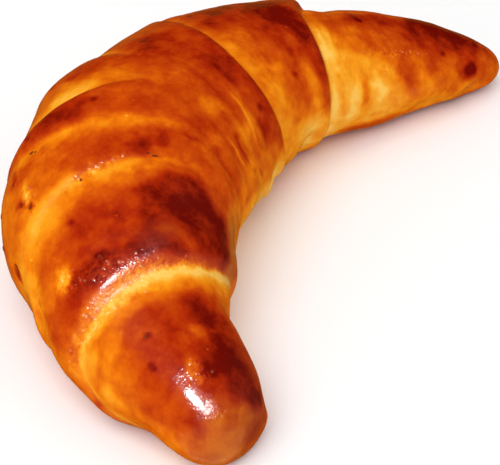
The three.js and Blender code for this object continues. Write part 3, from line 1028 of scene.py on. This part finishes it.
def floor_material(colours):
    """Matt, pale floor."""
    material, _, shader = new_material("studio_floor")
    shader.inputs["Base Color"].default_value = (*colours.floor, 1)
    shader.inputs["Roughness"].default_value = 0.9
    shader.inputs["Specular IOR Level"].default_value = 0.1
    return material


# ---------------------------------------------------------------------------
# What a user would change
# ---------------------------------------------------------------------------


def colour_property(name, description, default):
    return FloatVectorProperty(
        name=name, description=description, default=default, subtype="COLOR", min=0, max=1
    )


def angle_property(name, description, degrees):
    return FloatProperty(
        name=name, description=description, default=np.radians(degrees), subtype="ANGLE", unit="ROTATION"
    )


def power_property(name, description, default):
    return FloatProperty(name=name, description=description, default=default, unit="POWER")


class BunShape(bpy.types.PropertyGroup):
    """Fineness and relief of the crust"""

    rings: IntProperty(name="Rings", description="Rings along the roll", default=430, min=40, max=440)
    sides: IntProperty(name="Sides", description="Points round each ring", default=220, min=24, max=224)
    unevenness: FloatProperty(
        name="Unevenness", description="Height of the dough's slow bulges, mm", default=0.4
    )
    contrast: FloatProperty(name="Contrast", description="How strongly the browning varies", default=1.22)
    grain: FloatProperty(name="Grain", description="Height of the crust's small bumps, mm", default=0.05)


class BunColours(bpy.types.PropertyGroup):
    """Colours of the crust from its palest to its darkest, and of the floor"""

    cream: colour_property("Cream", "Dough that stayed almost unbaked, deep in a seam", (0.98, 0.55, 0.085))
    dough: colour_property("Dough", "Palest dough, where the wraps parted", (0.96, 0.43, 0.025))
    straw: colour_property("Straw", "Lightly baked dough", (0.93, 0.33, 0.006))
    golden: colour_property("Golden", "Golden crust", (0.79, 0.168, 0.001))
    chestnut: colour_property("Chestnut", "Well baked crust", (0.58, 0.066, 0.0008))
    russet: colour_property("Russet", "Red-brown crust", (0.41, 0.0205, 0.0004))
    mahogany: colour_property("Mahogany", "Darkest crust", (0.165, 0.0028, 0.0001))
    # Painted glint: the pale colour mixed onto the froth.
    painted_glint: colour_property("Foam", "Fine bubbles of the egg wash", (0.96, 0.6, 0.36))
    crumb: colour_property("Crumb", "Toasted crumbs", (0.25, 0.04, 0.005))
    floor: colour_property("Floor", "Studio floor", (0.97, 0.97, 0.97))


class StageSettings(bpy.types.PropertyGroup):
    """Camera and lights"""

    camera_azimuth: angle_property("Camera azimuth", "0 looks along +Y", -53.7)
    camera_elevation: angle_property("Camera elevation", "Above the floor", 40)
    camera_distance: FloatProperty(
        name="Camera distance", description="From its aim", default=0.3, subtype="DISTANCE", unit="LENGTH"
    )
    aim: FloatVectorProperty(
        name="Aim",
        description="What the camera looks at",
        default=(-0.033, -0.019, 0.02),
        subtype="XYZ",
        unit="LENGTH",
    )
    focal_length: FloatProperty(
        name="Focal length",
        description="Of the camera, in millimetres",
        default=95.8,
        subtype="DISTANCE_CAMERA",
        unit="CAMERA",
    )
    key_power: power_property("Key light", "Power of the small key light", 15)
    halo_power: power_property("Key halo", "Power of the dimmer ring round the key light", 4)
    soft_power: power_property("Soft light", "Power of the big soft light", 4.8)
    card_power: power_property("Card", "Power of the low card that only shows in reflections", 3.2)
    back_power: power_property("Back card", "Power of the warm card behind, seen only in reflections", 1.1)
    fill: FloatProperty(name="Fill light", description="Strength of the light from all round", default=0.7)


# ---------------------------------------------------------------------------
# The studio
# ---------------------------------------------------------------------------

# In metres, apart from the sensor, and in degrees.
FLOOR_HALF_WIDTH = 3
FLOOR_DROP = 0.3 * MM  # keeps the floor just clear of the underside
SENSOR_WIDTH = 36  # mm
CAMERA_SIGHT = (0.01, 20)  # nearest and furthest that the camera sees
WHITE = (1, 1, 1)

# The lights: name, the setting of its power, azimuth, elevation and distance from the aim,
# width, colour, and whether it shows in reflections only or, if not, in no reflection.
LIGHTS = (
    ("key", "key_power", -48, 51, 0.9, 0.25, WHITE, True),
    ("key halo", "halo_power", -40, 48, 0.9, 0.55, WHITE, True),
    ("soft", "soft_power", -84, 60, 0.9, 0.9, WHITE, False),
    ("card", "card_power", -42, -34, 0.5, 1.3, (1, 0.7, 0.42), True),
)
BACK_CARD_DISTANCE = 0.5
BACK_CARD_WIDTH = 1.2
BACK_CARD_COLOUR = (1, 0.28, 0.04)


def from_aim(aim, azimuth, elevation, distance):
    """The point at this distance from the aim, seen from there at this azimuth and elevation."""
    level = np.cos(elevation)
    back = Vector((np.sin(azimuth) * level, -np.cos(azimuth) * level, np.sin(elevation)))
    return Vector(aim) + back * distance


def placed(name, data, location, target):
    """An object with this data at a place, turned to look at the target."""
    obj = bpy.data.objects.new(name, data)
    bpy.context.scene.collection.objects.link(obj)
    obj.location = location
    obj.rotation_mode = "QUATERNION"
    obj.rotation_quaternion = (Vector(target) - obj.location).to_track_quat("-Z", "Y")
    return obj


def disc_light(name, location, target, width, power, colour, reflected):
    """A round light that shows in reflections only or, if not reflected, in no reflection."""
    light = bpy.data.lights.new(name, "AREA")
    light.shape = "DISK"
    light.size, light.energy, light.color = width, power, colour
    lamp = placed(name, light, location, target)
    lamp.visible_camera = False
    lamp.visible_diffuse, lamp.visible_glossy = not reflected, reflected


def make_floor(colours):
    """A square floor, left out of reflections."""
    low, high = -FLOOR_HALF_WIDTH, FLOOR_HALF_WIDTH
    corners = [(x, y, -FLOOR_DROP) for x, y in ((low, low), (high, low), (high, high), (low, high))]
    floor = mesh_object("floor", np.array(corners), np.array([[0, 1, 2, 3]]))
    floor.data.materials.append(floor_material(colours))
    floor.visible_glossy = False


def make_camera(stage):
    """The camera at its distance from the aim."""
    data = bpy.data.cameras.new("camera")
    data.lens, data.sensor_width = stage.focal_length, SENSOR_WIDTH
    data.clip_start, data.clip_end = CAMERA_SIGHT
    location = from_aim(stage.aim, stage.camera_azimuth, stage.camera_elevation, stage.camera_distance)
    bpy.context.scene.camera = placed("camera", data, location, stage.aim)


def make_lights(stage):
    """The lights of the table, and a warm card straight behind the bun as the camera sees it."""
    for name, power, azimuth, elevation, distance, width, colour, reflected in LIGHTS:
        location = from_aim(stage.aim, np.radians(azimuth), np.radians(elevation), distance)
        disc_light(name, location, stage.aim, width, getattr(stage, power), colour, reflected)
    behind = from_aim(stage.aim, stage.camera_azimuth + np.pi, -stage.camera_elevation, BACK_CARD_DISTANCE)
    disc_light("back card", behind, stage.aim, BACK_CARD_WIDTH, stage.back_power, BACK_CARD_COLOUR, True)


def make_world(stage):
    """Even white light from all round, left out of reflections."""
    world = bpy.data.worlds.new("studio")
    world.use_nodes = True
    background = world.node_tree.nodes["Background"]
    background.inputs["Color"].default_value = (*WHITE, 1)
    background.inputs["Strength"].default_value = stage.fill
    world.cycles_visibility.glossy = False
    bpy.context.scene.world = world
    bpy.context.scene.view_settings.view_transform = "Standard"


# ---------------------------------------------------------------------------
# Operators
# ---------------------------------------------------------------------------


class BUN_OT_crust(bpy.types.Operator):
    """Make the bun's crust: the rolled crescent with its seams, relief and browning"""

    bl_idname = "bun.crust"
    bl_label = "Bun crust"

    def execute(self, context):
        shape = context.scene.bun_shape
        points, values = crust_arrays(shape)
        quads, fans = grid_faces(shape.rings, shape.sides)
        crust = mesh_object("bun_crust", points, quads, fans)
        for name, value in values.items():
            point_attribute(crust, name, value)
        crust.data.materials.append(crust_material(context.scene.bun_colours))
        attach(crust, "root")
        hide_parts("bun")
        return {"FINISHED"}


class BUN_OT_crumbs(bpy.types.Operator):
    """Make the dark crumbs baked into the crust"""

    bl_idname = "bun.crumbs"
    bl_label = "Crumbs"

    def execute(self, context):
        crumbs = mesh_object("crumbs", *crumb_arrays(context.scene.bun_shape))
        crumbs.data.materials.append(crumb_material(context.scene.bun_colours))
        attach(crumbs, "root")
        return {"FINISHED"}


class BUN_OT_stage(bpy.types.Operator):
    """Make the pale floor, the soft lights and the camera"""

    bl_idname = "bun.stage"
    bl_label = "Studio stage"

    def execute(self, context):
        stage = context.scene.bun_stage
        make_floor(context.scene.bun_colours)
        make_camera(stage)
        make_lights(stage)
        make_world(stage)
        return {"FINISHED"}


class BUN_PT_sidebar(bpy.types.Panel):
    """The bun's pieces and settings"""

    bl_idname = "BUN_PT_sidebar"
    bl_label = "Walnut Bun"
    bl_space_type = "VIEW_3D"
    bl_region_type = "UI"
    bl_category = "Walnut Bun"

    def draw(self, context):
        for operator in OPERATORS:
            self.layout.operator(operator.bl_idname)
        for name, group in SETTINGS.items():
            column = self.layout.column(heading=group.__doc__)
            for key in group.__annotations__:
                column.prop(getattr(context.scene, name), key)


OPERATORS = (BUN_OT_crust, BUN_OT_crumbs, BUN_OT_stage)
SETTINGS = {"bun_shape": BunShape, "bun_colours": BunColours, "bun_stage": StageSettings}
CLASSES = (*SETTINGS.values(), *OPERATORS, BUN_PT_sidebar)


def register():
    for cls in CLASSES:
        bpy.utils.register_class(cls)
    for name, group in SETTINGS.items():
        setattr(bpy.types.Scene, name, PointerProperty(type=group))


def unregister():
    for name in SETTINGS:
        delattr(bpy.types.Scene, name)
    for cls in reversed(CLASSES):
        bpy.utils.unregister_class(cls)


def main():
    """Make the bun and its stage, and write down the boxes of the CAD model and of the visual one."""
    register()
    bpy.ops.bun.crust()
    bpy.ops.bun.crumbs()
    bpy.ops.bun.stage()


if __name__ == "__main__":
    main()
